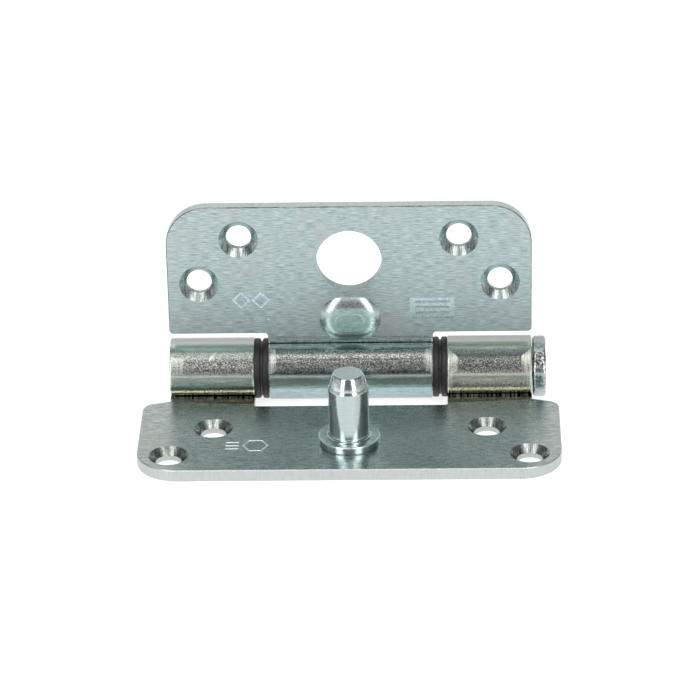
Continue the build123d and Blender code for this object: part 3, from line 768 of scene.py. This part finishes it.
def makePin(spec):
    axis = Vector((1, 0, 0))
    centre = Vector((0, pinCentre.y, pinCentre.z))
    left, right = pinLow.x / mm, pinHigh.x / mm
    radius, head, dish = spec["radius"], spec["headRadius"], spec["dishRadius"]
    stations = [
        (left, radius - spec["leadIn"]), (left + spec["leadIn"], radius), (spec["headInside"], radius),
        (spec["headInside"], head), (right, head), (right, dish + spec["dishSlope"]),
        (right - spec["dishDepth"], dish),
    ]
    stations += [(right - spec["dishDepth"] - depth, wide) for depth, wide in spec["centreMark"]]
    piece = turnPiece("headedPin", centre, axis, stations, spec["sides"])
    roundRings(piece, centre, axis, [
        (right, head, spec["rim"], 5),
        (spec["headInside"], head, spec["rim"], 5),
        (right, dish + spec["dishSlope"], 0.2, 3),
    ])
    finishPiece(piece)
    seatMaterial(piece, metals["headedZincPinPaintedReflections"])
    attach(piece, "frame_side")
    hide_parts("hinge_pin")


makePin(hingePin)
print("pin made")

# where each roll closes on its own leaf, the cut end leaves a broken row of burrs
lipBurr = {
    "ends": (24.4, 43.6),
    "front": -7.0,           # from the pin's middle
    "rises": (0.26, 0.46),   # above the leaf's face, left and right
    "thickness": 0.3,
    "pitch": 0.27,
    "kept": (0.75, 0.5),
}


def makeBurrs(spec):
    rng = random.Random(11)
    start, end = spec["ends"]
    columns = int((end - start) / spec["pitch"])
    rows = zip((-1, 1), ("leftLipBurr", "rightLipBurr"), spec["rises"], spec["kept"])
    for side, name, rise, kept in rows:
        bpy.ops.object.select_all(action="DESELECT")
        middle = Vector((side * (start + end) / 2, spec["front"], faceZ + rise / 2)) * mm
        bpy.ops.mesh.primitive_grid_add(x_subdivisions=columns, y_subdivisions=1, size=1.0,
                                        location=pinCentre + middle, rotation=(radians(90), 0, 0))
        piece = bpy.context.object
        piece.name = name
        piece.scale = ((end - start) * mm, (rise + 0.04) * mm, 1.0)
        bpy.ops.object.transform_apply(location=True, rotation=True, scale=True)
        startEditing(piece)
        pick(piece, "FACE", lambda p, n: rng.random() > kept)
        bpy.ops.mesh.delete(type="FACE")
        bpy.ops.mesh.select_all(action="SELECT")
        bpy.ops.mesh.extrude_region_move(TRANSFORM_OT_translate={"value": (0, spec["thickness"] * mm, 0)})
        finishPiece(piece)
        # the teeth's dark grey stands in partly for the shade in the slot under the roll's end
        seatMaterial(piece, metals["burredEdge"])
        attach(piece, "frame_side")


makeBurrs(lipBurr)
print("burrs made")

stud = {
    "shankRadius": 4.9,
    "collarRadius": 7.5,
    "collarHeight": 2.0,
    "collarRim": 0.4,
    "undercut": 0.22,
    "beadRadius": 5.55,
    "beadHeight": 0.2,
    "coneStart": 14.5,        # above the leaf's face
    "grooveAbove": 0.75,      # a tool mark round the foot of the cone
    "grooveDepth": 0.035,
    "grooveHalf": 0.14,
    "footRim": 0.08,
    "tipRings": (2.4, 0.6),
    "tipRadius": 3.6,
    "tipRim": 0.3,
    "sheet": 3.0,
    "rivetRadius": 3.98,
    "rivetFlare": 0.8,
    "sides": 112,
}


def makeStud(spec):
    axis = Vector((0, 0, 1))
    centre = Vector((studCentre.x, studCentre.y, 0))
    face = spec["sheet"]
    top = studHigh.z / mm
    collarTop = face + spec["collarHeight"]
    shank, bead = spec["shankRadius"], spec["beadRadius"]
    rivet, flare = spec["rivetRadius"], spec["rivetFlare"]
    foot = face + spec["coneStart"]
    slope = (shank - spec["tipRadius"]) / (top - foot)
    grooveAt = foot + spec["grooveAbove"]
    coneAt = shank - slope * spec["grooveAbove"]
    half = spec["grooveHalf"]
    sweep = bead - shank
    beadTop = collarTop + spec["beadHeight"]
    stations = [(0, rivet + flare - 0.02), (flare, rivet), (face, rivet),
                (face, spec["collarRadius"] - spec["undercut"]),
                (face + spec["undercut"], spec["collarRadius"]), (collarTop, spec["collarRadius"]),
                (collarTop, bead), (beadTop, bead)]
    # the concave flare that the riveting tool leaves round the shank's foot
    stations += [
        (beadTop + sweep * (1 - cos(radians(turn))), bead - sweep * sin(radians(turn)))
        for turn in (15, 30, 45, 60, 75, 90)
    ]
    stations += [
        (foot, shank),
        (grooveAt - half, coneAt + slope * half), (grooveAt, coneAt - spec["grooveDepth"]),
        (grooveAt + half, coneAt - slope * half), (top, spec["tipRadius"]),
    ]
    stations += [(top, wide) for wide in spec["tipRings"]]
    piece = turnPiece("turnedStud", centre, axis, stations, spec["sides"])
    roundRings(piece, centre, axis, [
        (collarTop, spec["collarRadius"], spec["collarRim"], 4),
        (top, spec["tipRadius"], spec["tipRim"], 3),
        (foot, shank, spec["footRim"], 2),
    ])
    finishPiece(piece, 24)
    seatMaterial(piece, metals["turnedZincStudPaintedReflections"], metals["shotBlastedTip"], metals["barrelledZincCollar"])
    for part in piece.data.polygons:
        middle = part.center / mm
        if part.normal.z > 0.95 and middle.z > top - 0.1:
            part.material_index = 1
        elif middle.z < beadTop and part.normal.z > 0.5:
            part.material_index = 2
    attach(piece, "frame_side")
    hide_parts("security_stud")


makeStud(stud)
print("stud made")

bearingCup = {
    "radius": 7.45,
    "bore": 4.72,
    "wall": 0.55,
    "floorDepth": 0.95,      # from the open rim to the floor inside
    "openRim": 0.5,
    "closedRim": 0.22,
    "lipRim": 0.14,
    "sides": 96,
}


def makeCups(spec):
    # modelled once, open to the left, then copied and turned about for the others
    low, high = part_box("right_outer_cup")
    axis = Vector((1, 0, 0))
    centre = Vector((0, pinCentre.y, pinCentre.z))
    start, end = low.x / mm, high.x / mm
    bpy.ops.object.select_all(action="DESELECT")
    bpy.ops.mesh.primitive_cylinder_add(vertices=spec["sides"], radius=spec["radius"] * mm,
                                        depth=(end - start) * mm, end_fill_type="NGON",
                                        location=centre + axis * (start + end) / 2 * mm,
                                        rotation=(0, radians(90), 0))
    piece = bpy.context.object
    piece.name = "right_outer_mouldedCup"
    bpy.ops.object.transform_apply(location=True, rotation=True, scale=True)
    startEditing(piece)
    pick(piece, "FACE", lambda p, n: n.x < -0.9)
    bpy.ops.mesh.inset(thickness=spec["wall"] * mm)
    bpy.ops.mesh.extrude_region_move(TRANSFORM_OT_translate={"value": axis * spec["floorDepth"] * mm})
    bpy.ops.mesh.inset(thickness=(spec["radius"] - spec["wall"] - spec["bore"]) * mm)
    bpy.ops.mesh.delete(type="FACE")
    pick(piece, "FACE", lambda p, n: n.x > 0.9 and p.x > end - 0.05)
    bpy.ops.mesh.inset(thickness=(spec["radius"] - spec["bore"]) * mm)
    bpy.ops.mesh.delete(type="FACE")
    pick(piece, "EDGE", lambda a, b: all(abs(fromAxis(q, centre, axis)[1] - spec["bore"]) < 0.02
                                         for q in (a, b)) and abs(a.x - b.x) < 0.01)
    bpy.ops.mesh.bridge_edge_loops()
    roundRings(piece, centre, axis, [
        (start, spec["radius"], spec["openRim"], 5),
        (end, spec["radius"], spec["closedRim"], 3),
        (start, spec["radius"] - spec["wall"], spec["lipRim"], 2),
    ])
    finishPiece(piece)
    seatMaterial(piece, plastics["mouldedAcetalCup"])
    made = {"right_outer_cup": piece}
    for nodeName in ("right_inner_cup", "left_outer_cup", "left_inner_cup"):
        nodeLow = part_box(nodeName)[0]
        bpy.ops.object.select_all(action="DESELECT")
        piece.select_set(True)
        bpy.context.view_layer.objects.active = piece
        bpy.ops.object.duplicate(linked=False)
        copied = bpy.context.object
        copied.name = nodeName.replace("cup", "mouldedCup")
        turned = nodeName in ("right_inner_cup", "left_outer_cup")
        if turned:
            bpy.ops.transform.rotate(value=pi, orient_axis="Z", center_override=centre)
        bpy.ops.object.transform_apply(location=True, rotation=True, scale=True)
        shift = nodeLow.x - min(corner.co.x for corner in copied.data.vertices)
        bpy.ops.transform.translate(value=(shift, 0, 0))
        bpy.ops.object.transform_apply(location=True, rotation=True, scale=True)
        made[nodeName] = copied
    for nodeName, copied in made.items():
        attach(copied, nodes[nodeName]["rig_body"])
        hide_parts(nodeName)


# moulded plastic: dark and even, with a fine satin grain
def mouldedPlastic(name, spec):
    made, tree = newMaterial(name)
    place = addNode(tree, "ShaderNodeTexCoord").outputs["Object"]
    grain = addNode(tree, "ShaderNodeTexNoise", Vector=place,
                    Scale=1 / (spec["grain"] * mm), Detail=2.0, Roughness=0.6)
    haze = addNode(tree, "ShaderNodeTexNoise", Vector=place,
                   Scale=1 / (spec["haze"] * mm), Detail=2.0, Roughness=0.6)
    colour = addNode(tree, "ShaderNodeMix", {"data_type": "RGBA"}, i0=haze.outputs[0],
                     i6=toLinear(spec["dark"]), i7=toLinear(spec["light"]))
    low, high = spec["roughness"]
    rough = addNode(tree, "ShaderNodeMapRange", Value=haze.outputs[0],
                    From_Min=0.3, From_Max=0.7, To_Min=low, To_Max=high)
    bump = addNode(tree, "ShaderNodeBump", Strength=1.0, Distance=spec["grainDepth"] * mm,
                   Height=grain.outputs[0])
    shader = addNode(tree, "ShaderNodeBsdfPrincipled", Base_Color=colour.outputs[2], IOR=spec["ior"],
                     Roughness=rough.outputs[0], Normal=bump.outputs[0])
    finishMaterial(tree, shader)
    return made


plastics = {
    # acetal bearing cups: black with a satin skin
    "mouldedAcetalCup": mouldedPlastic("mouldedAcetalCup", {
        "dark": "#0D0D0C", "light": "#151614", "grain": 0.3, "haze": 1.6,
        "roughness": (0.42, 0.58), "grainDepth": 0.006, "ior": 1.48}),
    # nylon cage, damp with grease
    "mouldedNylonCage": mouldedPlastic("mouldedNylonCage", {
        "dark": "#1C1C1B", "light": "#2C2B29", "grain": 0.25, "haze": 1.2,
        "roughness": (0.25, 0.45), "grainDepth": 0.004, "ior": 1.53}),
}
makeCups(bearingCup)
for nodeName, node in nodes.items():
    if "_ball_cage" in nodeName:
        seatMaterial(node, plastics["mouldedNylonCage"])
    elif "_race" in nodeName:
        seatMaterial(node, metals["groundSteelRace"])
    elif "_ball_" in nodeName:
        seatMaterial(node, metals["polishedSteelBall"])
print("bearings made")
